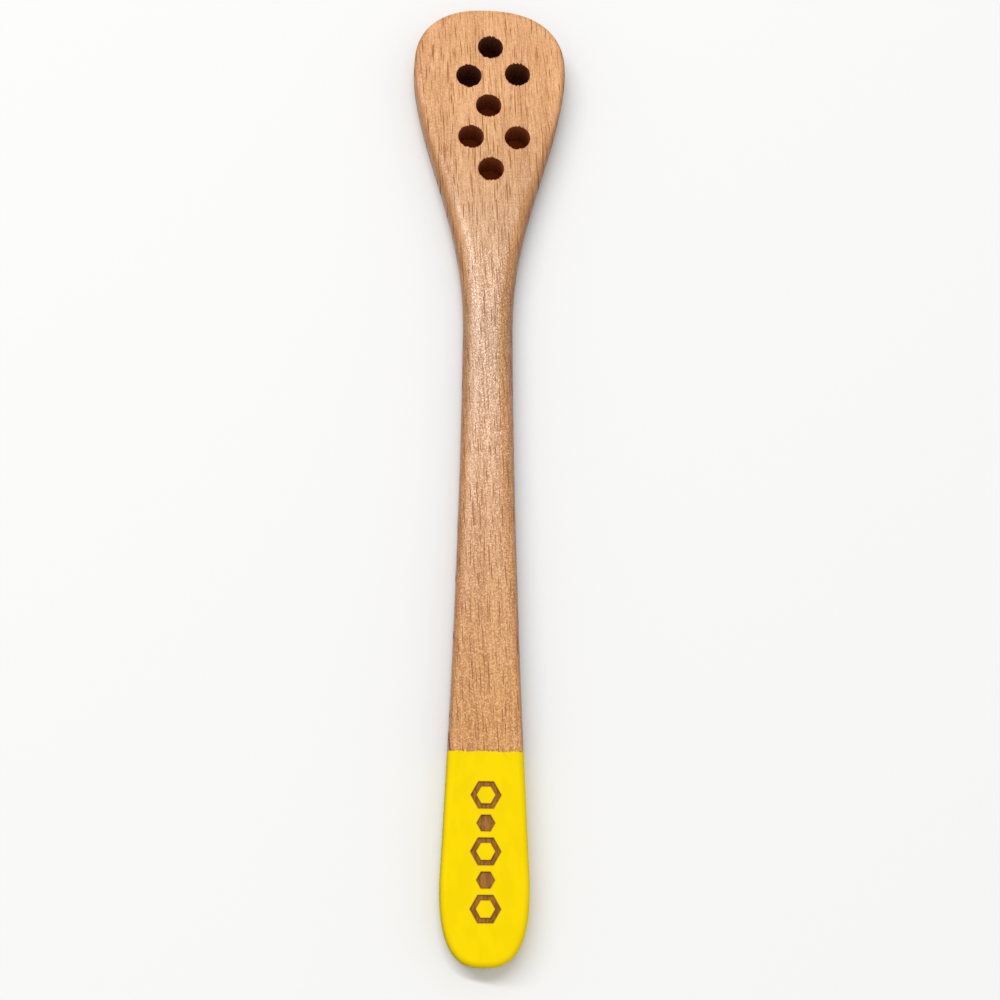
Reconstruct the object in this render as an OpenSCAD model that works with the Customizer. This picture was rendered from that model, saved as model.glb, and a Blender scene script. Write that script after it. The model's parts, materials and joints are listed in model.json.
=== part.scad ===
// Honey dipper of the flat kind: a beech paddle with drip holes, dipped in paint at the handle's end.
// It lies on its back. X runs across it, Y runs along it to the head's tip, and Z points out of its front.
// The origin is on the table, under the middle of the length. All sizes are in millimetres.

/* [Overall] */
// Length from the head's tip to the painted end
length = 203; // [170:1:260]
// Thickness of the beech blank
thickness = 6; // [5.5:0.1:9]

/* [Head] */
// Width of the head where it is widest
head_w = 33.1; // [28:0.1:44]
// Distance from the head's tip to its widest place
head_widest = 15; // [12:0.5:22]
// Squareness of the head's tip, where 2 is an ellipse
head_square = 2.4; // [2:0.1:3.2]
// Radius of the sanded edge round the head
head_edge = 1.3; // [0.5:0.1:2]

/* [Drip holes] */
// Diameter of a drip hole
hole_d = 5.5; // [4:0.1:6.5]
// Distance from the head's tip to the first hole
hole_first = 9.85; // [8:0.05:14]
// Distance along the head from one row of holes to the next
hole_pitch = 7.45; // [7:0.05:9]
// Distance across the head between the two holes of a pair
hole_pair = 10.3; // [9:0.1:13]
// How far a pair's middle lies right of the head's middle
pair_shift = 0.8; // [-1:0.1:1]

/* [Neck and handle] */
// Width of the neck where it is narrowest
neck_w = 10.4; // [9:0.1:16]
// Distance from the head's tip to the narrowest place
neck_at = 75.5; // [65:0.5:90]
// How late the head draws in to the neck, where 1 is an even wave
neck_draw = 0.86; // [0.7:0.01:1.2]
// How far the neck's rounding reaches in across its front and back
neck_reach = 3.7; // [1:0.1:4]
// How far the neck's rounding reaches down its sides
neck_round = 2.6; // [1:0.1:2.7]
// Width of the handle's end, over the paint
end_w = 16.7; // [13:0.1:24]
// Length of the handle's rounded end
end_cap = 15.4; // [9:0.1:20]
// Squareness of the handle's rounded end, where 2 is an ellipse
end_square = 2.7; // [2:0.1:3.4]
// How late the handle widens, where 1 is a straight taper
flare = 1.75; // [1:0.05:2.5]
// Radius of the sanded edge at the handle's end
end_edge = 1.2; // [0.5:0.1:2]

/* [Painted end] */
// Length of the painted end
paint_len = 39.4; // [36:0.1:60]
// Thickness of the coat of paint
paint_t = 0.1; // [0.05:0.01:0.15]

/* [Burnt cells] */
// Distance from the painted end to the middle of the row of cells
cells_at = 20.8; // [18:0.1:24]
// Number of cells in the row
cell_count = 5; // [1:2:5]
// Distance from one cell to the next
cell_pitch = 5.2; // [5:0.1:6]
// Width of an open cell across its flats
cell_w = 5; // [4:0.1:5.2]
// Width of the line round an open cell
cell_line = 0.9; // [0.5:0.1:1.2]
// Width of a filled cell across its flats
filled_w = 3; // [2:0.1:3.2]
// Depth of a cell's burnt floor below the paint's face
burn_depth = 0.3; // [0.2:0.05:0.8]

/* [Hidden] */

// Places along the length: the head's tip and the paint's edge along Y, and the start of the
// handle's rounded end as a distance from the head's tip
tip_y = length / 2;
paint_y = paint_len - length / 2;
end_at = length - end_cap;

// Steps of the outline's four stretches, and of the rounded edge
tip_steps = 14;
draw_steps = 22;
handle_steps = 12;
end_steps = 12;
edge_steps = 4;

// The drip holes from the tip down: the side that each lies on, its row, and how far the drill
// wandered from the pattern, to the right and towards the tip
hole_side = [0, -1, 1, 0, -1, 1, 0];
hole_row = [0, 1, 1, 2, 3, 3, 4];
wander = [[0, 0], [-0.3, 0.1], [0, 1], [-0.3, 0.4], [0.3, 0.1], [0, 0.3], [0.3, 0]];
hole_fn = 64;

// The neck's rounding leaves at least a narrow flat on each side, front and back
least_flat = 0.5;
reach_in = min(neck_reach, (neck_w - least_flat) / 2);
reach_down = min(neck_round, (thickness - least_flat) / 2);

// Long enough to pass through every face it cuts
through = thickness * 2;
// How far the edges' rounding runs past the flat faces, so that these end it with a clean line
skim = 0.02;

// Even shares from 0 to 1, one for the start and one for the end of each step
function shares(steps) = [for (i = [0:steps]) i / steps];

// An even wave from 1 down to 0
function wave(u) = (1 + cos(180 * u)) / 2;

// A rounded end's half width at share u of its length, as a superellipse
function round_end(u, square) = pow(1 - pow(max(0, 1 - u), square), 1 / square);

// Stations along the paddle, as distances from the head's tip, closer together where it bends more
stations = concat(
    [for (u = shares(tip_steps)) head_widest * (1 - cos(90 * u))],
    [for (u = shares(draw_steps)) if (u > 0) head_widest + (neck_at - head_widest) * u],
    [for (u = shares(handle_steps)) if (u > 0) neck_at + (end_at - neck_at) * u],
    [for (u = shares(end_steps)) if (u > 0) end_at + end_cap * sin(90 * u)]
);

// Share of the way along the neck's draw, and along the handle
function drawn(s) = pow(min(1, max(0, (s - head_widest) / (neck_at - head_widest))), neck_draw);
function flared(s) = min(1, max(0, (s - neck_at) / (end_at - neck_at)));

// Half the paddle's width at distance s from the head's tip
function half_width(s) =
    s < head_widest ? head_w / 2 * round_end(s / head_widest, head_square) :
    s < neck_at ? neck_w / 2 + (head_w - neck_w) / 2 * wave(drawn(s)) :
    s < end_at ? neck_w / 2 + (end_w - neck_w) / 2 * pow(flared(s), flare) :
    end_w / 2 * round_end((length - s) / end_cap, end_square);

// The edge's rounding at distance s: small at the head, full at the neck, small again at the end
function blended(s, at_neck) =
    s < neck_at ? head_edge + (at_neck - head_edge) * (1 - wave(drawn(s))) :
    at_neck + (end_edge - at_neck) * (1 - wave(flared(s)));

// The paddle's outline: down its right side from tip to end, and back up its left side
outline = let (n = len(stations) - 1) concat(
    [for (i = [0:n]) [half_width(stations[i]), tip_y - stations[i], stations[i]]],
    [for (i = [n - 1:-1:1]) [-half_width(stations[i]), tip_y - stations[i], stations[i]]]
);

// Outward direction at point i of the outline, square to the line between its neighbours
function outward(i) =
    let (
        n = len(outline),
        along = outline[(i + 1) % n] - outline[(i + n - 1) % n],
        size = norm([along[0], along[1]])
    ) [-along[1], along[0]] / size;

// One ring round the paddle's edge, shrunk by the given amount: the outline, drawn in along a quarter
// ellipse by the given turn, from the upright side at 0 to the front or back face at 90.
function ring(turn, front, shrink) = [
    for (i = [0:len(outline) - 1])
        let (
            p = outline[i],
            reach = blended(p[2], reach_in),
            down = blended(p[2], reach_down) + skim,
            in = reach * (1 - cos(turn)) + shrink * cos(turn),
            up = down * (1 - sin(turn)) + shrink * sin(turn) - skim,
            edge = [p[0], p[1]] - outward(i) * in
        ) [edge[0], edge[1], front ? thickness - up : up]
];

// The same ring moved up or down
function moved(points, by) = [for (p = points) [p[0], p[1], p[2] + by]];

// A skin over the rings, with a flat cap well past each face
module rounded_bar(shrink) {
    n = len(outline);
    turns = [for (u = shares(edge_steps)) 90 * u];
    back = [for (i = [edge_steps:-1:0]) ring(turns[i], false, shrink)];
    front = [for (i = [0:edge_steps]) ring(turns[i], true, shrink)];
    rings = concat(
        [moved(back[0], -through)],
        back,
        front,
        [moved(front[edge_steps], through)]
    );
    last = len(rings) - 1;
    sides = [
        for (r = [0:last - 1], i = [0:n - 1])
            let (
                a = r * n + i,
                b = r * n + (i + 1) % n
            ) each [[a, b, a + n], [b, b + n, a + n]]
    ];
    back_cap = [for (i = [n - 1:-1:0]) i];
    front_cap = [for (i = [0:n - 1]) last * n + i];
    polyhedron([for (r = rings) each r], concat([back_cap], sides, [front_cap]));
}

// The whole paddle's form: the rounded bar between two flat faces
module form(shrink = 0) {
    intersection() {
        rounded_bar(shrink);
        translate([-head_w, -length, shrink])
            cube([head_w * 2, length * 2, thickness - 2 * shrink]);
    }
}

// Everything round the handle from the paint's edge to past its end
module painted_end() {
    translate([-head_w, paint_y - length, -thickness])
        cube([head_w * 2, length, thickness * 3]);
}

// Puts its child at each drip hole
module at_holes() {
    for (i = [0:len(hole_side) - 1]) {
        side = hole_side[i];
        x = side == 0 ? 0 : pair_shift + side * hole_pair / 2;
        y = tip_y - hole_first - hole_row[i] * hole_pitch;
        translate([x + wander[i][0], y + wander[i][1], 0])
            children();
    }
}

// A hexagon with two flats along the handle, of the given width across them
module cell(width) {
    circle(d = width / cos(30), $fn = 6);
}

// The row of cells that is burnt through the paint: open and filled ones by turns
module cells() {
    middle = (cell_count - 1) / 2;
    for (i = [0:cell_count - 1])
        translate([0, cells_at - tip_y + (i - middle) * cell_pitch])
            if (i % 2 == 0)
                difference() {
                    cell(cell_w);
                    cell(cell_w - 2 * cell_line);
                }
            else
                cell(filled_w);
}

// The cells as a cutter that stops at the burnt floor
module burn() {
    translate([0, 0, thickness - burn_depth])
        linear_extrude(through)
            cells();
}

// The beech, which is slimmer by the paint's thickness where it is painted, drilled and burnt
module beech_paddle() {
    color("burlywood")
        difference() {
            form();
            difference() {
                painted_end();
                form(paint_t);
            }
            at_holes()
                translate([0, 0, -through / 2])
                    cylinder(h = through * 2, d = hole_d, $fn = hole_fn);
            burn();
        }
}

// The coat of paint, level with the bare beech and open over the burnt cells
module paint_coat() {
    color("gold")
        difference() {
            intersection() {
                form();
                painted_end();
            }
            form(paint_t);
            burn();
        }
}

beech_paddle();
paint_coat();
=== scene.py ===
"""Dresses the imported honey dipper: its beech and its paint as fine meshes with their finishes, on a pale
floor in soft light. Lengths are in metres, in the part's own frame: X across the dipper, Y to the head's
tip, Z out of the front face."""
import json
import math

import bmesh
import bpy
import numpy as np
from mathutils import Euler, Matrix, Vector
from mathutils.geometry import delaunay_2d_cdt


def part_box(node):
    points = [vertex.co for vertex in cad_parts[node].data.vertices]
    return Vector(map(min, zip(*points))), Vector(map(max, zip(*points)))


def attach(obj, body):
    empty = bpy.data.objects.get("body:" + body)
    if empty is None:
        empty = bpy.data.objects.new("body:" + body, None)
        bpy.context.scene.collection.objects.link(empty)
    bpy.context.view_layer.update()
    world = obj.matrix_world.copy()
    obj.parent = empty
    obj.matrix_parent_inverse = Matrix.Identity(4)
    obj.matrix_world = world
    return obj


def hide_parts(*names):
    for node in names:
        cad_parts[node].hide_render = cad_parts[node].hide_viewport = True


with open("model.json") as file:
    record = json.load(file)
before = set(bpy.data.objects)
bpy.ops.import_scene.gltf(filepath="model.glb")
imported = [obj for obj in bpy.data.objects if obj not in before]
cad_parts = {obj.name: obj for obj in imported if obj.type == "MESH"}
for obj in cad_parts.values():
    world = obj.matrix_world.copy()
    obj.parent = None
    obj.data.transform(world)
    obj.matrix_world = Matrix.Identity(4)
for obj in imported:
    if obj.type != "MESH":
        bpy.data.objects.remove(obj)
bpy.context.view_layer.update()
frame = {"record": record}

MM = 0.001

# Sizes that the frame gives
beech_low, beech_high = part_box("beech_paddle")
paint_low, paint_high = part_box("paint_coat")
TIP_Y = beech_high.y
PAINT_Y = paint_high.y
LENGTH = TIP_Y - paint_low.y
THICKNESS = beech_high.z
HEAD_W = 2 * beech_high.x
END_W = 2 * paint_high.x
PAINT_AT = TIP_Y - PAINT_Y
PAINT_T = beech_low.y - paint_low.y
DRIP_HOLES = [
    (mount["pos_m"][0], mount["pos_m"][1], mount["dims"]["r_mm"] * MM)
    for mount in frame["record"]["mounts"]
    if mount["kind"] == "bore"
]

# The form's other sizes, as the part's source gives them
HEAD_WIDEST = 15 * MM
HEAD_SQUARE = 2.4
HEAD_EDGE = 1.3 * MM
NECK_W = 10.4 * MM
NECK_AT = 75.5 * MM
NECK_DRAW = 0.86
NECK_REACH = 3.7 * MM
NECK_ROUND = 2.6 * MM
END_CAP = 15.4 * MM
END_SQUARE = 2.7
END_EDGE = 1.2 * MM
FLARE = 1.75
END_AT = LENGTH - END_CAP

# The row of burnt cells, from the painted end: open and filled hexagons by turns
CELLS_AT = 20.8 * MM
CELL_COUNT = 5
CELL_PITCH = 5.2 * MM
CELL_W = 5 * MM
CELL_LINE = 0.9 * MM
FILLED_W = 3 * MM
BURN_DEPTH = 0.3 * MM
CELL_CORNER = 0.15 * MM

# Fineness of the outline: steps along the tip, the draw to the neck, the bare and the painted handle and
# its rounded end
TIP_STEPS = 150
DRAW_STEPS = 230
HANDLE_STEPS = 330
PAINTED_STEPS = 110
END_STEPS = 130

# Fineness of the rest: steps round an edge's rounding, a drip hole and a cell's corner, steps along the
# paint's edge, and the loose points where the beech sinks under the paint
EDGE_STEPS = 10
HOLE_STEPS = 168
CORNER_STEPS = 6
PAINT_LINE_STEPS = 140
SINK_ROWS = 9
SINK_COLUMNS = 60

# Width of the flat collar between a rounding and the triangles of the face beside it
COLLAR = 0.35 * MM
# Points closer than WELD become one, lengths closer than SAME count as equal, and an edge that turns by
# more than SHARP is shaded sharp
WELD = 0.001 * MM
SAME = 1e-9
SHARP = math.radians(40)

# How far a drip hole's rim is rounded over, the share by which that varies, and the shortest and longest
# waves in which it does
RIM_BREAK = 0.05 * MM
BREAK_SHARE = 0.4
BREAK_WAVES = (2 * MM, 9 * MM)
# How far the rim is torn out, the least and most of that, its waves, and how soon it dies away from the
# hole's two ends along the grain
RIM_TEAR = 0.16 * MM
TEAR_SPAN = (-1.2, 1.8)
TEAR_WAVES = (0.3 * MM, 1.5 * MM)
TEAR_POWER = 1.5
# The depths of the wall's rings as shares of the rounding
RIM_DEPTHS = (0, 0.15, 0.3, 0.5, 0.75, 1.2, 2.0, 3.5)

# How far the paint's edge wanders along the grain and its waves, how far it bleeds, from which height of
# a wave to which and in which waves, and how far below the edge both fade out
RAGGED = 0.07 * MM
RAGGED_WAVES = (0.9 * MM, 9 * MM)
BLEED = 0.2 * MM
BLEED_FROM = 0.5
BLEED_MOST = 1.2
BLEED_WAVES = (0.35 * MM, 1.2 * MM)
RAGGED_FADE = 0.7 * MM
# How far before and after the paint's edge the beech sinks, and the gap it leaves under the paint
PAINT_SINK = (0.5 * MM, 0.4 * MM)
PAINT_GAP = 0.004 * MM

# How burnt the wood is, from 0 for sound: a drip hole's rim from its collar inwards, its wall with what
# each next hole adds, and a burnt cell's wall, the foot of its wall and its floor. In a drip hole's wall
# the value also paints shade, which turns red brown, like light bounced between the walls, in the lower
# holes
CHAR_RIM = [0, 0.05, 0.15, 0.4]
CHAR_HOLE = 1.0
SHADE_PER_HOLE = 0.08
CHAR_WALL = 0.75
CHAR_FOOT = 0.65
CHAR_FLOOR = 0.5
# Width of the scorch along a burnt cell, and how scorched the paint is from there to its burnt edge
SCORCH_RIM = 0.12 * MM
SCORCHED = [0, 0.25, 0.8]

# Where chance starts: for a drip hole's tearing, with how far on for the next hole and for the rounding,
# and for the paint's edge. A wander is a sum of WANDER_TERMS waves.
HOLE_SEED = 100
NEXT_SEED = 10
BREAK_SEED = 5
RAGGED_SEED = 7
BLEED_SEED = 8
WANDER_TERMS = 14


# The form

def wave(u):
    """An even wave from 1 down to 0: half of one plus the cosine of a half turn's share u."""
    return (1 + np.cos(np.pi * u)) / 2


def smooth_step(u):
    """Rises from 0 to 1 as u does: three u squared less two u cubed."""
    u = np.clip(u, 0, 1)
    return u * u * (3 - 2 * u)


def round_end(u, square):
    """A rounded end's half width at share u of its length: a superellipse of the given power."""
    return (1 - np.clip(1 - u, 0, 1) ** square) ** (1 / square)


def drawn(s):
    """Share of the way that the head has drawn in to the neck, at distance s from the tip."""
    return np.clip((s - HEAD_WIDEST) / (NECK_AT - HEAD_WIDEST), 0, 1) ** NECK_DRAW


def flared(s):
    """Share of the way along the handle, at distance s from the tip."""
    return np.clip((s - NECK_AT) / (END_AT - NECK_AT), 0, 1)


def half_width(s):
    """Half the paddle's width at distance s: a superellipse for the tip, an even wave for the draw to the
    neck, a power curve for the handle and a superellipse for its end."""
    tip = HEAD_W / 2 * round_end(s / HEAD_WIDEST, HEAD_SQUARE)
    draw = NECK_W / 2 + (HEAD_W - NECK_W) / 2 * wave(drawn(s))
    handle = NECK_W / 2 + (END_W - NECK_W) / 2 * flared(s) ** FLARE
    end = END_W / 2 * round_end((LENGTH - s) / END_CAP, END_SQUARE)
    return np.select([s < HEAD_WIDEST, s < NECK_AT, s < END_AT], [tip, draw, handle], end)


def rounding(s, at_neck):
    """The edge's rounding at distance s: small at the head, full at the neck, small again at the end. Even
    waves join the three."""
    before = HEAD_EDGE + (at_neck - HEAD_EDGE) * (1 - wave(drawn(s)))
    after = at_neck + (END_EDGE - at_neck) * (1 - wave(flared(s)))
    return np.where(s < NECK_AT, before, after)


def stations():
    """Distances from the tip, with one at the paint's edge: closer together where the outline bends more,
    as the sine and the cosine of even turns are."""
    tip = HEAD_WIDEST * (1 - np.cos(np.linspace(0, np.pi / 2, TIP_STEPS)))
    draw = np.linspace(HEAD_WIDEST, NECK_AT, DRAW_STEPS)[1:]
    handle = np.linspace(NECK_AT, PAINT_AT, HANDLE_STEPS)[1:]
    painted = np.linspace(PAINT_AT, END_AT, PAINTED_STEPS)[1:]
    end = END_AT + END_CAP * np.sin(np.linspace(0, np.pi / 2, END_STEPS))[1:]
    return np.concatenate([tip, draw, handle, painted, end])


def outline():
    """The paddle's outline, down its right side and up its left: points, outward directions, distances."""
    s = stations()
    right = np.stack([half_width(s), TIP_Y - s], axis=1)
    left = right[-2:0:-1] * [-1, 1]
    points = np.concatenate([right, left])
    along = np.roll(points, -1, axis=0) - np.roll(points, 1, axis=0)
    outward = np.stack([-along[:, 1], along[:, 0]], axis=1)
    outward /= np.linalg.norm(outward, axis=1)[:, None]
    return points, outward, np.concatenate([s, s[-2:0:-1]])


def ring(turn, shrink, draw_in=0.0, front=True):
    """One ring round the paddle: the outline drawn in along a quarter ellipse by the given turn, from the
    upright side at 0 to the flat face at a quarter turn, shrunk by the given amount at each point."""
    points, outward, s = outline()
    inset = rounding(s, NECK_REACH) * (1 - math.cos(turn)) + shrink * math.cos(turn) + draw_in
    below = rounding(s, NECK_ROUND) * (1 - math.sin(turn)) + shrink * math.sin(turn)
    level = THICKNESS - below if front else below
    return np.column_stack([points - outward * inset[:, None], level])


def edge_rings(shrink):
    """The rings from the back face's collar round the side to the front face's collar."""
    turns = np.linspace(0, np.pi / 2, EDGE_STEPS + 1)
    front = [ring(turn, shrink) for turn in turns] + [ring(np.pi / 2, shrink, COLLAR)]
    back = [ring(turn, shrink, front=False) for turn in turns]
    back += [ring(np.pi / 2, shrink, COLLAR, front=False)]
    return np.array(back[::-1] + front)


# Marks that chance leaves

def wander(positions, seed, finest, coarsest):
    """A smooth random line through 0 with a spread of 1, along positions: a sum of sines whose lengths run
    from the coarsest to the finest."""
    draw = np.random.default_rng(seed)
    lengths = finest * (coarsest / finest) ** draw.random(WANDER_TERMS)
    phases = draw.random(WANDER_TERMS) * 2 * np.pi
    directions = draw.normal(size=(WANDER_TERMS, positions.shape[-1]))
    directions /= np.linalg.norm(directions, axis=1)[:, None]
    turns = positions @ directions.T * (2 * np.pi / lengths) + phases
    return np.sin(turns).sum(axis=-1) * math.sqrt(2 / WANDER_TERMS)


# Meshes

def inside(points, loop):
    """Whether each point lies inside the loop: a line from it to the right crosses the loop an odd number
    of times."""
    x, y = points[:, :1], points[:, 1:2]
    start_x, start_y = loop[:, 0], loop[:, 1]
    end_x, end_y = np.roll(start_x, -1), np.roll(start_y, -1)
    spans = (start_y > y) != (end_y > y)
    rise = np.where(end_y == start_y, 1, end_y - start_y)
    crossing = start_x + (y - start_y) * (end_x - start_x) / rise
    return np.count_nonzero(spans & (x < crossing), axis=1) % 2 == 1


class Shell:
    """Gathers patches of one closed surface and makes them a mesh."""

    def __init__(self):
        self.points = []
        self.faces = []
        self.smooth = []
        self.char_and_shade = []
        self.count = 0

    def add(self, points, faces, smooth=True, char_and_shade=0.0):
        """Adds a patch, with how burnt its points are: 0 is sound, and a drip hole's wall is 1 or over,
        which also paints shade into the wall."""
        points = np.asarray(points).reshape(-1, 3)
        self.points.append(points)
        self.faces.extend((np.asarray(faces) + self.count).tolist())
        self.smooth.extend([smooth] * len(faces))
        self.char_and_shade.append(np.broadcast_to(char_and_shade, len(points)))
        self.count += len(points)

    def band(self, rings, closed=True, char_and_shade=0.0):
        """Adds the faces between neighbouring rings, which all have the same number of points. char is one
        value, or one for each ring."""
        rings = np.asarray(rings)
        rows, columns = rings.shape[:2]
        index = np.arange(rows * columns).reshape(rows, columns)
        if closed:
            index = np.column_stack([index, index[:, :1]])
        corners = [index[:-1, :-1], index[:-1, 1:], index[1:, 1:], index[1:, :-1]]
        if np.ndim(char_and_shade) == 1:
            char_and_shade = np.repeat(char_and_shade, columns)
        self.add(rings, np.stack(corners, axis=-1).reshape(-1, 4), char_and_shade=char_and_shade)

    def fill(self, loops, spots=None, char_and_shade=0.0):
        """Adds flat triangles inside the first loop and outside the others, through the loose spots."""
        edges = []
        start = 0
        for loop in loops:
            index = np.arange(start, start + len(loop))
            edges.extend(np.stack([index, np.roll(index, -1)], axis=1).tolist())
            start += len(loop)
        points = np.concatenate(loops if spots is None else loops + [spots])
        made = delaunay_2d_cdt((points[:, :2] / MM).tolist(), edges, [], 0, SAME / MM)
        points = points[[source[0] for source in made[3]]]
        faces = np.array(made[2])
        middles = points[faces, :2].mean(axis=1)
        kept = inside(middles, loops[0])
        for hole in loops[1:]:
            kept &= ~inside(middles, hole)
        self.add(points, faces[kept], smooth=False, char_and_shade=char_and_shade)

    def piece(self, name, material):
        """Makes the mesh: merges the patches' shared points and turns every face outwards."""
        mesh = bpy.data.meshes.new(name)
        mesh.from_pydata(np.concatenate(self.points).tolist(), [], self.faces)
        mesh.polygons.foreach_set("use_smooth", self.smooth)
        char_and_shade = mesh.attributes.new("char_and_shade", "FLOAT", "POINT")
        char_and_shade.data.foreach_set("value", np.concatenate(self.char_and_shade).astype(np.float32))
        merged = bmesh.new()
        merged.from_mesh(mesh)
        bmesh.ops.remove_doubles(merged, verts=merged.verts, dist=WELD)
        bmesh.ops.recalc_face_normals(merged, faces=merged.faces)
        merged.to_mesh(mesh)
        merged.free()
        mesh.set_sharp_from_angle(angle=SHARP)
        mesh.materials.append(material)
        made = bpy.data.objects.new(name, mesh)
        bpy.context.scene.collection.objects.link(made)
        return made


def sunk(y):
    """How far the beech lies below the dipper's face: nothing where it is bare, and the paint's thickness
    under the paint, with a smooth step between that starts just before the paint's edge."""
    before, after = PAINT_SINK
    depth = TIP_Y - y - PAINT_AT
    return (PAINT_T + PAINT_GAP) * smooth_step((depth + before) / (before + after))


def cell_places():
    """The middle, width and inner width of each burnt cell. A filled cell has no inner width."""
    middle = (CELL_COUNT - 1) / 2
    first = CELLS_AT - LENGTH / 2
    for i in range(CELL_COUNT):
        place = np.array([0.0, first + (i - middle) * CELL_PITCH])
        is_open = i % 2 == 0
        yield place, CELL_W if is_open else FILLED_W, CELL_W - 2 * CELL_LINE if is_open else 0.0


def hexagon(place, width, level):
    """A hexagon with softened corners, of the given width across its flats: an arc at each corner."""
    middle = (width / 2 - CELL_CORNER) / math.cos(math.pi / 6)
    k = np.arange(6)[:, None] * np.pi / 3
    arc = k + np.linspace(-np.pi / 6, np.pi / 6, CORNER_STEPS)[None, :]
    x = place[0] + middle * np.cos(k) + CELL_CORNER * np.cos(arc)
    y = place[1] + middle * np.sin(k) + CELL_CORNER * np.sin(arc)
    return np.column_stack([x.ravel(), y.ravel(), np.full(x.size, level)])


def drip_hole(shell, number, x, y, radius):
    """Adds one drilled hole's wall: circles, widened at the rim by the square of the rounding's remaining
    share, and torn out along the grain by an amount that dies away exponentially with depth. Returns the
    loops that meet the front and back faces."""
    angle = np.linspace(0, 2 * np.pi, HOLE_STEPS, endpoint=False)
    across, along = np.cos(angle), np.sin(angle)
    around = np.stack([across, along], axis=1) * radius
    collar = radius + RIM_BREAK + RIM_TEAR + COLLAR
    walls = []
    for side, level, into in ((0, THICKNESS, -1), (1, 0.0, 1)):
        seed = HOLE_SEED + NEXT_SEED * number + side
        torn = np.clip(wander(around, seed, *TEAR_WAVES), *TEAR_SPAN)
        torn *= RIM_TEAR * np.abs(along) ** TEAR_POWER
        worn = RIM_BREAK * (1 + BREAK_SHARE * wander(around, seed + BREAK_SEED, *BREAK_WAVES))
        rings = [np.column_stack([x + across * collar, y + along * collar, np.full(HOLE_STEPS, level)])]
        for share in RIM_DEPTHS:
            reach = radius + worn * max(0, 1 - share) ** 2
            tear = np.sign(along) * torn * np.exp(-share)
            depth = into * worn * share
            rings.append(np.column_stack([x + across * reach, y + along * reach + tear, level + depth]))
        walls.append(rings)
    # Each next hole gets more, which paints red-brown shade into its wall
    char_and_shade = CHAR_RIM + [CHAR_HOLE + SHADE_PER_HOLE * number] * (len(walls[0]) - len(CHAR_RIM))
    shell.band(walls[0] + walls[1][::-1], char_and_shade=np.array(char_and_shade + char_and_shade[::-1]))
    return walls[0][0], walls[1][0]


def burnt_cell(shell, place, width, inner):
    """Adds one burnt pocket in the beech: its scorched rim, its walls and its floor. Returns the loop that
    meets the front face."""
    level = THICKNESS - float(sunk(place[1]))
    floor = THICKNESS - BURN_DEPTH
    rim = hexagon(place, width + 2 * SCORCH_RIM, level)
    wall = [rim, hexagon(place, width, level), hexagon(place, width, floor)]
    shell.band(wall, char_and_shade=np.array([0, CHAR_WALL, CHAR_WALL]))
    steps = [width, width - SCORCH_RIM, width - 3 * SCORCH_RIM]
    char_and_shade = [CHAR_WALL, CHAR_FOOT, CHAR_FLOOR]
    if inner:
        steps += [inner + 3 * SCORCH_RIM, inner + SCORCH_RIM, inner]
        char_and_shade += char_and_shade[::-1]
    loops = [hexagon(place, step, floor) for step in steps]
    shell.band(loops, char_and_shade=np.array(char_and_shade))
    if inner:
        island = hexagon(place, inner - 2 * SCORCH_RIM, level)
        top = [hexagon(place, inner, floor), hexagon(place, inner, level), island]
        shell.band(top, char_and_shade=np.array([CHAR_WALL, CHAR_WALL, 0]))
        shell.fill([island])
    else:
        shell.fill([loops[-1]], char_and_shade=CHAR_FLOOR)
    return rim


def make_paddle(material):
    """The beech paddle: rings round its rounded edge, drilled holes, burnt pockets, and flat faces whose
    triangles join the lot. Under the paint it is slimmer by the paint's thickness."""
    shell = Shell()
    points = outline()[0]
    rings = edge_rings(sunk(points[:, 1]))
    shell.band(rings)
    front = [rings[-1]]
    back = [rings[0]]
    for number, (x, y, radius) in enumerate(DRIP_HOLES):
        loops = drip_hole(shell, number, x, y, radius)
        front.append(loops[0])
        back.append(loops[1])
    for place, width, inner in cell_places():
        front.append(burnt_cell(shell, place, width, inner))
    step_y = PAINT_Y + np.linspace(PAINT_SINK[0], -PAINT_SINK[1], SINK_ROWS)
    reach = float(half_width(np.array([PAINT_AT]))[0]) - END_EDGE * 2
    x, y = np.meshgrid(np.linspace(-reach, reach, SINK_COLUMNS), step_y)
    step = np.column_stack([x.ravel(), y.ravel(), THICKNESS - sunk(y.ravel())])
    shell.fill(front, step)
    step[:, 2] = THICKNESS - step[:, 2]
    shell.fill(back, step)
    return shell.piece("beech", material)


def between(start, end):
    """Points along the straight line from start to end, without the two ends."""
    share = np.linspace(0, 1, PAINT_LINE_STEPS + 1)[1:-1, None]
    return start + (end - start) * share


def ragged(points):
    """Moves the paint's edge along the grain: a slow wander both ways, and short bleeds towards the head.
    Both fade out below the edge by the square of the remaining share."""
    across = points[:, [0, 2]]
    slow = RAGGED * wander(across, RAGGED_SEED, *RAGGED_WAVES)
    bleed = BLEED * np.clip(wander(across, BLEED_SEED, *BLEED_WAVES) - BLEED_FROM, 0, BLEED_MOST)
    below = np.clip((PAINT_Y - points[:, 1]) / RAGGED_FADE, 0, 1)
    moved = points.copy()
    moved[:, 1] += (slow + bleed) * (1 - below) ** 2
    return moved


def paint_window(shell, place, width, grow):
    """Adds the scorched rim of one edge of a window in the paint, which the rim leaves by the given growth.
    Returns the loops where the rim meets the unscorched outer and inner skins."""
    under = THICKNESS - PAINT_T
    outer = [hexagon(place, width + 2 * step * grow, THICKNESS) for step in (2, 1, 0)]
    inner = [hexagon(place, width + 2 * step * grow, under) for step in (0, 2)]
    shell.band(outer + inner, char_and_shade=np.array(SCORCHED + [SCORCHED[-1], 0]))
    return outer[0], inner[-1]


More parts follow.
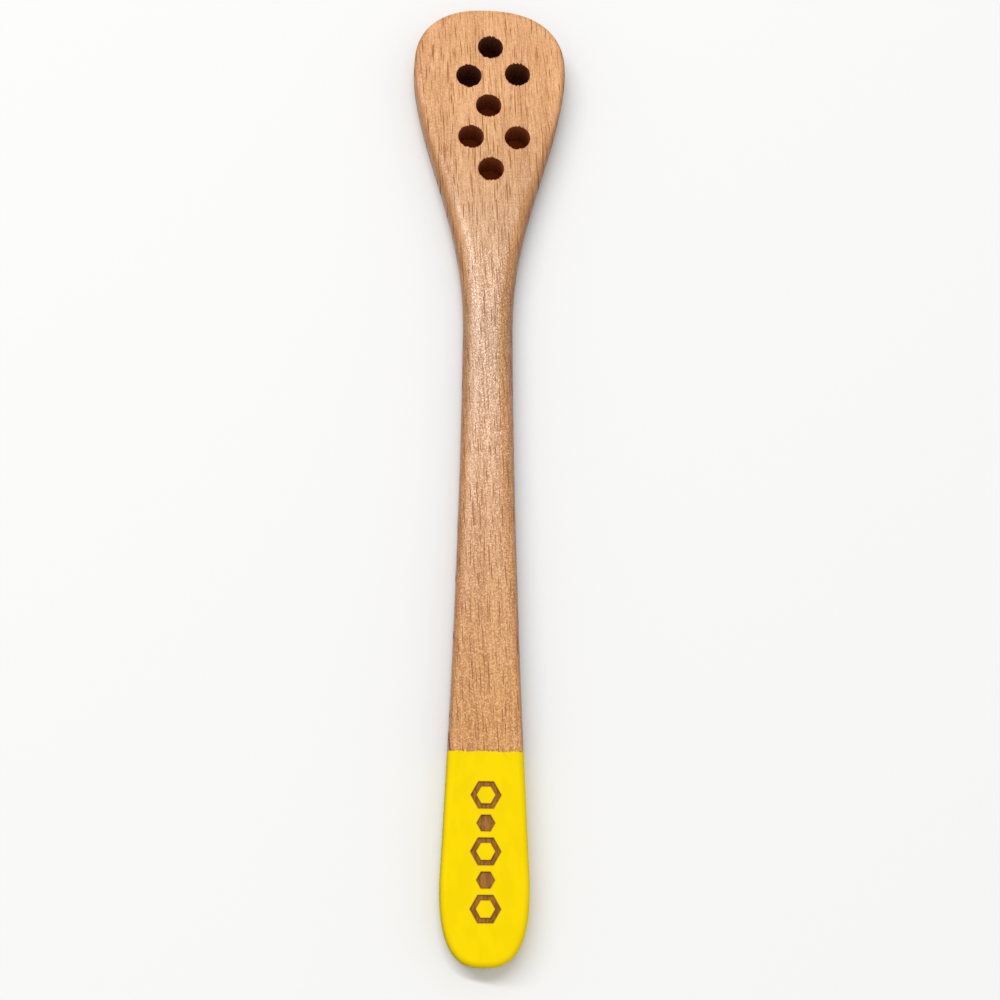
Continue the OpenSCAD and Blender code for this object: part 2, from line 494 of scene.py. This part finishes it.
def make_coat(material):
    """The coat of paint: an outer and an inner skin round the handle's end, joined along the paint's edge
    and round each window over a burnt cell, with a little plate left inside each open cell."""
    shell = Shell()
    distances = outline()[2]
    painted = np.flatnonzero(distances >= PAINT_AT - SAME)
    windows = []
    for place, width, inner in cell_places():
        windows.append(paint_window(shell, place, width, SCORCH_RIM))
        if inner:
            for plate in paint_window(shell, place, inner, -SCORCH_RIM):
                shell.fill([plate])
    edges = []
    for skin, shrink in enumerate((0.0, PAINT_T)):
        rings = edge_rings(np.full(len(distances), shrink))[:, painted]
        shell.band(rings, closed=False)
        front_line = between(rings[-1, -1], rings[-1, 0])
        back_line = between(rings[0, 0], rings[0, -1])
        shell.fill([np.concatenate([rings[-1], front_line])] + [window[skin] for window in windows])
        shell.fill([np.concatenate([rings[0][::-1], back_line])])
        edges.append(np.concatenate([front_line, rings[::-1, 0], back_line, rings[:, -1]]))
    shell.band(edges)
    shell.points = [ragged(patch) for patch in shell.points]
    return shell.piece("paint", material)


# Nodes

def add(tree, kind, inputs=None, **settings):
    """Adds a node with its settings. An input is a value or another node's output."""
    made = tree.nodes.new("ShaderNode" + kind)
    for name, value in settings.items():
        setattr(made, name, value)
    for socket, value in (inputs or {}).items():
        if isinstance(value, bpy.types.NodeSocket):
            tree.links.new(value, made.inputs[socket])
        else:
            made.inputs[socket].default_value = value
    return made


def calc(tree, operation, *values):
    """A Math node's output."""
    return add(tree, "Math", dict(enumerate(values)), operation=operation).outputs[0]


def fade(tree, value, low, high, to_low=0.0, to_high=1.0):
    """Maps value smoothly from the range low to high onto the range to_low to to_high."""
    inputs = {"Value": value, "From Min": low, "From Max": high, "To Min": to_low, "To Max": to_high}
    return add(tree, "MapRange", inputs, interpolation_type="SMOOTHSTEP").outputs[0]


def from_to(tree, share, first, second):
    """The value that lies the given share of the way from the first to the second."""
    return calc(tree, "MULTIPLY_ADD", share, second - first, first)


def mix(tree, factor, first, second, blend="MIX"):
    """Mixes two colours."""
    made = add(tree, "Mix", {0: factor, 6: first, 7: second}, data_type="RGBA", blend_type=blend)
    return made.outputs[2]


def stretched(tree, vector, scale):
    """The vector with each of its parts scaled."""
    return add(tree, "VectorMath", {0: vector, 1: scale}, operation="MULTIPLY").outputs[0]


def parted(tree, vector):
    """The vector's three parts."""
    return add(tree, "SeparateXYZ", {0: vector}).outputs


def coordinates(tree, name):
    """The piece's own coordinates: Object for the place on it, or Normal for the way it faces."""
    return add(tree, "TexCoord").outputs[name]


def noise(tree, vector, scale, detail, rough):
    """Noise whose grains are one over scale long each way, with the given detail and roughness."""
    inputs = {"Vector": stretched(tree, vector, scale), "Scale": 1.0, "Detail": detail, "Roughness": rough}
    return add(tree, "TexNoise", inputs).outputs[0]


def bump(tree, height, distance):
    """A Bump node's normal, for a height of 1 that stands the given distance proud."""
    return add(tree, "Bump", {"Height": height, "Distance": distance}).outputs[0]


def new_group(name, inputs, outputs):
    """An empty shader node group with the named sockets."""
    tree = bpy.data.node_groups.new(name, "ShaderNodeTree")
    for socket, kind, value in inputs:
        tree.interface.new_socket(socket, in_out="INPUT", socket_type=kind).default_value = value
    for socket, kind in outputs:
        tree.interface.new_socket(socket, in_out="OUTPUT", socket_type=kind)
    return tree, tree.nodes.new("NodeGroupInput").outputs, tree.nodes.new("NodeGroupOutput").inputs


def place_group(tree, group, **inputs):
    """Places a node group in a material, with the material's own values."""
    made = tree.nodes.new("ShaderNodeGroup")
    made.node_tree = group
    for socket, value in inputs.items():
        made.inputs[socket].default_value = value
    return made.outputs


def new_material(name):
    """A material with a Principled shader, and its tree."""
    made = bpy.data.materials.new(name)
    made.use_nodes = True
    return made, made.node_tree, made.node_tree.nodes["Principled BSDF"]


# Finishes

# Angle of the grain to the dipper's length in degrees, and how far the fibres bend aside in millimetres
GRAIN_LEAN = -3.5
GRAIN_BEND = 0.8

# Each layer of the grain as noise: its fineness per millimetre across, along and down through the wood,
# its detail and its roughness
BENDS = (0.08, 0.03, 0.08), 2.0, 0.5
FIBRES = (2.9, 0.13, 2.0), 3.0, 0.5
GRANULES = (3.6, 3.2, 3.6), 2.0, 0.6
STREAKS = (1.5, 0.05, 1.1), 3.0, 0.6
BANDS = (0.3, 0.012, 0.2), 3.0, 0.5
BRUSHING = (20.0, 0.8, 14.0), 2.0, 0.5
# Where in its noise a layer starts to show and where it shows in full, and the same for bright, dark and
# shiny granules
FIBRES_SHOW = (0.42, 0.6)
STREAKS_SHOW = (0.5, 0.68)
BANDS_SHOW = (0.3, 0.7)
BRIGHT_SHOW = (0.5, 0.68)
DARK_SHOW = (0.5, 0.32)
SHINY_SHOW = (0.35, 0.65)

# Each kind of fleck: its spacing and half sizes in millimetres across, along and down through the wood,
# the chance above which it starts to show, and its full strength
LARGE_RAYS = (1.3, 6.6, 9.0), (0.16, 3.3, 7.0), -0.3, 0.9
SMALL_RAYS = (1.0, 4.8, 7.0), (0.12, 2.3, 5.0), -0.1, 0.85
PALE_FLECKS = (0.9, 2.9, 8.0), (0.16, 1.3, 5.0), -0.2, 0.45
# A fleck's shortest and longest length as shares of its own, and where its edge fades
FLECK_LENGTHS = (0.55, 1.35)
FLECK_EDGE = (0.25, 1.0)

# Places between which the finish changes along the dipper, in millimetres from its middle
COARSENS = (60.0, -50.0)
DARKENS = (84.0, 50.0)
DARKER_BELOW_HEAD = (-60.0, 20.0)
DARKER_ON_HANDLE = (0.0, -30.0)
YELLOWER_TO_END = (-25.0, -55.0)
DRIES = (38.0, 74.0)
# The neck's middle, and distances from it between which the finish changes, all in millimetres
NECK_MIDDLE = 22.0
NEARS_NECK = (50.0, 20.0)
LEAVES_NECK = (10.0, 40.0)
DARKER_AT_NECK = (24.0, 0.0)
# Shares of the way to the coarsest grain between which the head ends, and the streaks gain strength
PAST_HEAD = (0.0, 0.2)
STREAKS_GAIN = (0.1, 0.6)
# How far the surface faces aside to take the painted shade of its sides, and along the dipper to look like
# end grain, from where it starts to where it fully does
SIDE_SHADE_FACES = (0.35, 0.95)
FACES_ALONG = (0.7, 1.0)

# Strengths of the grain's layers at their least and their most: of streaks as the grain coarsens, of
# rays at the neck and away from it, of fibres and granules away from it and at it, of granules on the
# head and past it, and of end grain
STREAK_STRENGTH = (0.2, 0.7)
RAY_STRENGTH = (0.75, 1.0)
FIBRE_STRENGTH = (0.45, 0.62)
GRANULE_STRENGTH = (1.0, 1.2)
HEAD_STRENGTH = (0.4, 1.0)
END_STRENGTH = (0.0, 0.5)
# How much darker the wood is made below the head, at the neck and on the handle, from none to most
BELOW_HEAD_DARKENS = (0.0, 0.24)
NECK_DARKENS = (0.0, 0.15)
HANDLE_DARKENS = (0.0, 0.07)
# Roughness of dull and shiny granules, what fibres, streaks and rays add to it, and what dryness adds
# before the head and at its tip
GRANULE_ROUGH = (0.27, 0.145)
FIBRE_ROUGH = 0.04
STREAK_ROUGH = 0.06
RAY_ROUGH = 0.45
DRY_ROUGH = (0.0, 0.22)
# Height of granules on the head and past it, of the brushing and of rays, which are sunk
GRANULE_HEIGHT = (0.1, 0.42)
BRUSHING_HEIGHT = 0.5
RAY_HEIGHT = -0.4

# Beech: growth bands from pale to warm, fibres, bright granules, rays and dark streaks, then the tones
# that make it darker below the head and at the neck and yellower towards the handle's end, the painted
# shade of its sides, and the brown of its cut ends
BEECH_PALE = (0.77, 0.39, 0.145, 1)
BEECH_WARM = (0.61, 0.28, 0.093, 1)
BEECH_FIBRE = (0.42, 0.155, 0.025, 1)
BEECH_LIGHT = (0.88, 0.52, 0.29, 1)
BEECH_RAY = (0.3, 0.085, 0.005, 1)
BEECH_STREAK = (0.44, 0.16, 0.02, 1)
BEECH_SHADE = (0.2, 0.2, 0.2, 1)
BEECH_YELLOWER = (0.95, 0.93, 0.82, 1)
BEECH_SIDE_SHADE = (0.66, 0.58, 0.5, 1)
BEECH_END = (0.40, 0.18, 0.07, 1)

# Burnt beech: a cell's floor, the dark of its walls and of the upper drip holes, the painted shade of the
# lower ones, red brown like light bounced between their walls, and soot
BURNT_FLOOR = (0.34, 0.137, 0.024, 1)
BURNT_DEEP = (0.11, 0.012, 0.0, 1)
HOLE_SHADE_RED = (0.32, 0.06, 0.001, 1)
BURNT_SOOT = (0.15, 0.055, 0.012, 1)
FULLY_ROUGH = (1, 1, 1, 1)

# Paint: its bright and deep clouds, and its scorched rims
PAINT_BRIGHT = (0.85, 0.62, 0.0, 1)
PAINT_DEEP = (0.82, 0.59, 0.0, 1)
PAINT_SCORCHED = (0.25, 0.10, 0.01, 1)

# Soot and the paint's clouds and dimples as noise: fineness per metre across, along and down, detail and
# roughness, and where in its noise each starts to show and shows in full
SOOT = (2.6 / MM, 0.6 / MM, 2 / MM), 3.0, 0.5
SOOT_SHOWS = (0.42, 0.62)
CLOUDS = (0.35 / MM, 0.16 / MM, 0.35 / MM), 3.0, 0.5
CLOUDS_SHOW = (0.35, 0.65)
DIMPLES = (1.5 / MM, 1.0 / MM, 1.5 / MM), 2.0, 0.5
DIMPLES_SHOW = (0.3, 0.7)

# How burnt the wood is where it starts to look burnt and where it fully does, and the same for the painted
# red-brown shade of the lower drip holes. Then the strength of the soot from none to most.
LOOKS_BURNT = (0.1, 0.4)
SHADE_TURNS_RED = (1.1, 1.3)
SOOT_STRENGTH = (0.0, 0.7)

# Gloss and relief of the two finishes, the paint's roughness in its dimples and between them, the height
# between them, and how much of the grain's relief shows through the paint
BEECH_GLOSS = 0.56
BEECH_RELIEF = 0.05 * MM
PAINT_GLOSS = 0.03
PAINT_RELIEF = 0.03 * MM
PAINT_ROUGH = (0.5, 0.6)
DIMPLE_HEIGHT = 0.25
GRAIN_THROUGH = 0.12


def flecks(tree, place, spacing, half, shows_from, strength):
    """Short dashes along the grain, one in each cell of a jittered lattice: up to the given strength in a
    dash's middle, and 0 outside. A dash is an ellipsoid with the given half sizes in millimetres, longer or
    shorter by chance. It fades with the sum of the squares of the shares of them."""
    cell = stretched(tree, place, [1 / each for each in spacing])
    lattice = add(tree, "TexVoronoi", {"Vector": cell, "Scale": 1.0, "Randomness": 1.0}).outputs
    middle = stretched(tree, lattice["Position"], spacing)
    away = add(tree, "VectorMath", {0: place, 1: middle}, operation="SUBTRACT").outputs[0]
    chance = add(tree, "SeparateColor", {0: lattice["Color"]}).outputs
    across, along, down = parted(tree, stretched(tree, away, [1 / each for each in half]))
    along = calc(tree, "DIVIDE", along, fade(tree, chance[0], 0.0, 1.0, *FLECK_LENGTHS))
    total = calc(tree, "POWER", across, 2.0)
    total = calc(tree, "MULTIPLY_ADD", along, along, total)
    total = calc(tree, "MULTIPLY_ADD", down, down, total)
    dash = fade(tree, total, *FLECK_EDGE, 1.0, 0.0)
    return calc(tree, "MULTIPLY", dash, fade(tree, chance[1], shows_from, 1.0, 0.0, strength))


def grain_place(tree):
    """A point's place in the grain, in millimetres: turned by the grain's lean, and moved aside by a slow
    noise, because fibres are never quite straight."""
    turned = {
        "Vector": coordinates(tree, "Object"),
        "Rotation": (0, 0, math.radians(GRAIN_LEAN)),
        "Scale": (1 / MM,) * 3,
    }
    place = add(tree, "Mapping", turned).outputs[0]
    bend = fade(tree, noise(tree, place, *BENDS), 0.0, 1.0, -GRAIN_BEND, GRAIN_BEND)
    aside = add(tree, "CombineXYZ", {0: bend}).outputs[0]
    return add(tree, "VectorMath", {0: place, 1: aside}, operation="ADD").outputs[0]


def darker_along(tree, lengthways, neck):
    """How much darker the beech is made: nowhere at the tip, more below the head, most at the neck and a
    little along the handle. At the neck this balances the lamp's sheen. The three shares are added up."""
    below_head = fade(tree, lengthways, *DARKER_BELOW_HEAD, *BELOW_HEAD_DARKENS)
    below_head = calc(tree, "MULTIPLY", fade(tree, lengthways, *DARKENS), below_head)
    at_neck = fade(tree, neck, *DARKER_AT_NECK, *NECK_DARKENS)
    on_handle = fade(tree, lengthways, *DARKER_ON_HANDLE, *HANDLE_DARKENS)
    return calc(tree, "ADD", calc(tree, "ADD", below_head, at_neck), on_handle)


def beech_grain_group():
    """Flat-sawn beech: fine fibres, short dark ray flecks, soft growth bands and a fine sparkle. A ray is a
    thin sheet that runs along the dipper and down through its thickness. The wood is made darker below the
    head and most at the neck, yellower towards the handle's end, and darker and redder on its sides, which
    is painted shade; it is browner on its cut ends. Depth scales the height that it puts out."""
    tree, given, out = new_group(
        "beech_grain",
        [("Depth", "NodeSocketFloat", 1.0)],
        [("Color", "NodeSocketColor"), ("Roughness", "NodeSocketFloat"), ("Height", "NodeSocketFloat")],
    )
    place = grain_place(tree)
    lengthways = parted(tree, place)[1]
    coarse = fade(tree, lengthways, *COARSENS)
    past_head = fade(tree, coarse, *PAST_HEAD)
    neck = calc(tree, "ABSOLUTE", calc(tree, "SUBTRACT", lengthways, NECK_MIDDLE))
    facing = parted(tree, coordinates(tree, "Normal"))

    fibrous = fade(tree, noise(tree, place, *FIBRES), *FIBRES_SHOW)
    granules = noise(tree, place, *GRANULES)
    streaked = fade(tree, noise(tree, place, *STREAKS), *STREAKS_SHOW)
    streaked = calc(tree, "MULTIPLY", streaked, fade(tree, coarse, *STREAKS_GAIN, *STREAK_STRENGTH))
    band = fade(tree, noise(tree, place, *BANDS), *BANDS_SHOW)
    rays = calc(tree, "MAXIMUM", flecks(tree, place, *LARGE_RAYS), flecks(tree, place, *SMALL_RAYS))
    rays = calc(tree, "MULTIPLY", rays, fade(tree, neck, *LEAVES_NECK, *RAY_STRENGTH))

    fibre_depth = calc(tree, "MULTIPLY", fibrous, fade(tree, neck, *NEARS_NECK, *FIBRE_STRENGTH))
    grained = from_to(tree, past_head, *HEAD_STRENGTH)
    grained = calc(tree, "MULTIPLY", grained, fade(tree, neck, *NEARS_NECK, *GRANULE_STRENGTH))
    bright = calc(tree, "MULTIPLY", fade(tree, granules, *BRIGHT_SHOW), grained)
    dark = calc(tree, "MULTIPLY", fade(tree, granules, *DARK_SHOW), grained)
    tone = mix(tree, band, BEECH_PALE, BEECH_WARM)
    tone = mix(tree, fibre_depth, tone, BEECH_FIBRE)
    tone = mix(tree, streaked, tone, BEECH_STREAK)
    tone = mix(tree, bright, tone, BEECH_LIGHT)
    tone = mix(tree, dark, tone, BEECH_FIBRE)
    tone = mix(tree, flecks(tree, place, *PALE_FLECKS), tone, BEECH_LIGHT)
    tone = mix(tree, rays, tone, BEECH_RAY)
    # Darker below the head and most at the neck, which balances the lamp's sheen there
    tone = mix(tree, darker_along(tree, lengthways, neck), tone, BEECH_SHADE, "MULTIPLY")
    # Yellower towards the handle's end
    tone = mix(tree, fade(tree, lengthways, *YELLOWER_TO_END), tone, BEECH_YELLOWER, "MULTIPLY")
    # Painted shade on the sides: darker and redder where the surface faces aside
    painted_side_shade = fade(tree, calc(tree, "ABSOLUTE", facing[0]), *SIDE_SHADE_FACES)
    tone = mix(tree, painted_side_shade, tone, BEECH_SIDE_SHADE, "MULTIPLY")
    end_grain = fade(tree, calc(tree, "ABSOLUTE", facing[1]), *FACES_ALONG, *END_STRENGTH)
    tree.links.new(mix(tree, end_grain, tone, BEECH_END), out["Color"])

    rough = fade(tree, granules, *SHINY_SHOW, *GRANULE_ROUGH)
    rough = calc(tree, "MULTIPLY_ADD", fibrous, FIBRE_ROUGH, rough)
    rough = calc(tree, "MULTIPLY_ADD", streaked, STREAK_ROUGH, rough)
    rough = calc(tree, "ADD", rough, fade(tree, lengthways, *DRIES, *DRY_ROUGH))
    tree.links.new(calc(tree, "MULTIPLY_ADD", rays, RAY_ROUGH, rough), out["Roughness"])

    height = calc(tree, "MULTIPLY", granules, from_to(tree, past_head, *GRANULE_HEIGHT))
    height = calc(tree, "MULTIPLY_ADD", noise(tree, place, *BRUSHING), BRUSHING_HEIGHT, height)
    height = calc(tree, "MULTIPLY_ADD", rays, RAY_HEIGHT, height)
    tree.links.new(calc(tree, "MULTIPLY", height, given["Depth"]), out["Height"])
    return tree


def char_and_shade_of(tree):
    """How burnt the surface is, as the mesh says, and in a drip hole how much shade is painted into it."""
    return add(tree, "Attribute", attribute_name="char_and_shade").outputs["Fac"]


def beech_material(grain):
    """Sanded and oiled beech, scorched brown where it is burnt: darkest along the burn's edges, with soot
    that follows the grain. In the lower drip holes the char gives way to painted shade, red brown like
    light bounced between the walls."""
    made, tree, shader = new_material("oiled_beech")
    wood = place_group(tree, grain, Depth=1.0)
    char_and_shade = char_and_shade_of(tree)
    soot = noise(tree, coordinates(tree, "Object"), *SOOT)
    burnt = mix(tree, fade(tree, char_and_shade, CHAR_FLOOR, CHAR_HOLE), BURNT_FLOOR, BURNT_DEEP)
    # Painted shade in the lower drip holes: red brown, like light bounced between their walls
    burnt = mix(tree, fade(tree, char_and_shade, *SHADE_TURNS_RED), burnt, HOLE_SHADE_RED)
    burnt = mix(tree, fade(tree, soot, *SOOT_SHOWS, *SOOT_STRENGTH), burnt, BURNT_SOOT)
    is_burnt = fade(tree, char_and_shade, *LOOKS_BURNT)
    tree.links.new(mix(tree, is_burnt, wood["Color"], burnt), shader.inputs["Base Color"])
    tree.links.new(mix(tree, is_burnt, wood["Roughness"], FULLY_ROUGH), shader.inputs["Roughness"])
    tree.links.new(bump(tree, wood["Height"], BEECH_RELIEF), shader.inputs["Normal"])
    shader.inputs["Specular IOR Level"].default_value = BEECH_GLOSS
    return made


def paint_material(grain):
    """Satin yellow paint, thin enough that the grain shows faintly through, and scorched at its windows.
    It is cloudy on a large scale and dimpled like orange peel on a small one."""
    made, tree, shader = new_material("yellow_paint")
    wood = place_group(tree, grain, Depth=GRAIN_THROUGH)
    place = coordinates(tree, "Object")
    cloud = noise(tree, place, *CLOUDS)
    peel = noise(tree, place, *DIMPLES)
    tone = mix(tree, fade(tree, cloud, *CLOUDS_SHOW), PAINT_BRIGHT, PAINT_DEEP)
    tree.links.new(mix(tree, char_and_shade_of(tree), tone, PAINT_SCORCHED), shader.inputs["Base Color"])
    tree.links.new(fade(tree, peel, *DIMPLES_SHOW, *PAINT_ROUGH), shader.inputs["Roughness"])
    height = calc(tree, "MULTIPLY_ADD", peel, DIMPLE_HEIGHT, wood["Height"])
    tree.links.new(bump(tree, height, PAINT_RELIEF), shader.inputs["Normal"])
    shader.inputs["Specular IOR Level"].default_value = PAINT_GLOSS
    return made


# Surroundings

# The floor as it is seen, and as it throws light back: plainly, a little and warmly right of the bare
# wood, and hardly left of the painted end. Then painted shade under the head: brown under its lower drip
# holes, and nearly black under its upper ones.
FLOOR_SEEN = (0.805, 0.805, 0.8, 1)
FLOOR_BOUNCE = (0.5, 0.5, 0.495, 1)
FLOOR_WARM = (0.13, 0.07, 0.04, 1)
FLOOR_DIM = (0.03, 0.03, 0.02, 1)
FLOOR_SHADE_LOWER_HOLES = (0.34, 0.075, 0.015, 1)
FLOOR_SHADE_UPPER_HOLES = (0.09, 0.02, 0.002, 1)
FLOOR_ROUGH = 0.9
FLOOR_GLOSS = 0.1
# How far the floor reaches each way and lies under the dipper
FLOOR_REACH = 3.0
FLOOR_DROP = 0.03 * MM

# Where the light that the floor throws back changes: along the dipper from the painted end to the bare
# wood, and across it from left to right
BOUNCE_ALONG = (PAINT_Y, PAINT_Y + 40 * MM)
BOUNCE_ACROSS = (-5 * MM, 5 * MM)

# The patch of painted shade under the head: its middle, its half sizes across and along, the share of them
# at which its edge fades, and where it darkens along the dipper
SHADE_PATCH_AT = (0.7 * MM, TIP_Y - 25 * MM, 0)
SHADE_PATCH_HALF = (11.1 * MM, 23.8 * MM)
SHADE_PATCH_EDGE = (0.9, 1.0)
SHADE_PATCH_DARKENS = (TIP_Y - 21 * MM, TIP_Y - 17 * MM)

# The camera: its place, its turn, its sensor's width and its focal length, the last two in millimetres
VIEW_AT = (-22.6 * MM, -102.8 * MM, 299.2 * MM)
VIEW_TURN = [math.radians(angle) for angle in (17.11, -4.94, 0.19)]
SENSOR_WIDTH = 36
FOCAL_LENGTH = 55.56


def shows_background(tree):
    """1 for a ray that shows the background, as the camera's, a reflection's or one through glass does, and
    0 for a ray that only brings light to the dipper."""
    ray = add(tree, "LightPath").outputs
    direct = calc(tree, "MAXIMUM", ray["Is Camera Ray"], ray["Is Transmission Ray"])
    return calc(tree, "MAXIMUM", direct, ray["Is Glossy Ray"])


def floor_bounce(tree, across, along):
    """The light that the floor throws back: plain, but little right of the bare wood and hardly any left of
    the painted end."""
    bare = fade(tree, along, *BOUNCE_ALONG)
    left = mix(tree, bare, FLOOR_DIM, FLOOR_BOUNCE)
    right = mix(tree, bare, FLOOR_BOUNCE, FLOOR_WARM)
    return mix(tree, fade(tree, across, *BOUNCE_ACROSS), left, right)


def make_floor():
    """A plain pale floor, a hair under the dipper, that throws less light back than it shows. Under the
    head, where only the drip holes show it, it carries painted shade, so that they look as deep as they do
    in life. It is open to any ray that reaches it from below, or comes back to it from there, so that the
    dipper's back shows, and is lit, in views from below."""
    made, tree, shader = new_material("pale_floor")
    place = coordinates(tree, "Object")
    across, along = parted(tree, place)[:2]
    tone = mix(tree, shows_background(tree), floor_bounce(tree, across, along), FLOOR_SEEN)
    away = add(tree, "VectorMath", {0: place, 1: SHADE_PATCH_AT}, operation="SUBTRACT").outputs[0]
    away = stretched(tree, away, (1 / SHADE_PATCH_HALF[0], 1 / SHADE_PATCH_HALF[1], 0))
    away = add(tree, "VectorMath", {0: away}, operation="LENGTH").outputs["Value"]
    # Painted shade under the head, seen only through the drip holes
    under = mix(tree, fade(tree, along, *SHADE_PATCH_DARKENS), FLOOR_SHADE_LOWER_HOLES, FLOOR_SHADE_UPPER_HOLES)
    tone = mix(tree, fade(tree, away, *SHADE_PATCH_EDGE), under, tone)
    tree.links.new(tone, shader.inputs["Base Color"])
    shader.inputs["Roughness"].default_value = FLOOR_ROUGH
    shader.inputs["Specular IOR Level"].default_value = FLOOR_GLOSS
    below = add(tree, "NewGeometry").outputs["Backfacing"]
    passed = calc(tree, "GREATER_THAN", add(tree, "LightPath").outputs["Transparent Depth"], 0.5)
    clear = add(tree, "BsdfTransparent").outputs[0]
    opened = {0: calc(tree, "MAXIMUM", below, passed), 1: shader.outputs[0], 2: clear}
    shown = add(tree, "MixShader", opened).outputs[0]
    tree.links.new(shown, tree.nodes["Material Output"].inputs["Surface"])
    signs = ((-1, -1), (1, -1), (1, 1), (-1, 1))
    corners = [(FLOOR_REACH * x, FLOOR_REACH * y, -FLOOR_DROP) for x, y in signs]
    mesh = bpy.data.meshes.new("floor")
    mesh.from_pydata(corners, [], [(0, 1, 2, 3)])
    mesh.materials.append(made)
    floor = bpy.data.objects.new("floor", mesh)
    bpy.context.scene.collection.objects.link(floor)


def make_light(name, place, turn, wide, deep, power):
    """A soft lamp at place, wide across the dipper and deep along it. It is tipped to face the dipper's
    middle, and turned from above by the given angle in degrees."""
    lamp = bpy.data.lights.new(name, "AREA")
    lamp.shape = "RECTANGLE"
    lamp.size = wide
    lamp.size_y = deep
    lamp.energy = power
    made = bpy.data.objects.new(name, lamp)
    made.location = place
    made.rotation_euler = (-math.atan2(place[1], place[2]), 0, math.radians(turn))
    bpy.context.scene.collection.objects.link(made)


def make_world(strength, seen):
    """Even, faint light of the given strength from all round, which is seen as a pale studio."""
    world = bpy.data.worlds.new("studio")
    world.use_nodes = True
    tree = world.node_tree
    background = tree.nodes["Background"]
    background.inputs["Color"].default_value = (1, 1, 1, 1)
    tree.links.new(fade(tree, shows_background(tree), 0, 1, strength, seen), background.inputs["Strength"])
    bpy.context.scene.world = world


def make_camera():
    """The photograph's view: a little past the handle and left of the dipper, looking down at it."""
    lens = bpy.data.cameras.new("view")
    lens.sensor_width = SENSOR_WIDTH
    lens.lens = FOCAL_LENGTH
    lens.clip_start = 0.01
    made = bpy.data.objects.new("view", lens)
    made.location = VIEW_AT
    made.rotation_euler = Euler(VIEW_TURN, "XYZ")
    bpy.context.scene.collection.objects.link(made)
    bpy.context.scene.camera = made


bpy.context.scene.view_settings.view_transform = "Standard"
make_camera()
make_world(strength=0.69, seen=0.7)
make_light("softbox", place=(-1.1, 1.18, 2.2), turn=-14, wide=3.0, deep=0.25, power=50)
make_floor()

grain = beech_grain_group()
beech = make_paddle(beech_material(grain))
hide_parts("beech_paddle")
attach(beech, "root")
paint = make_coat(paint_material(grain))
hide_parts("paint_coat")
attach(paint, "root")
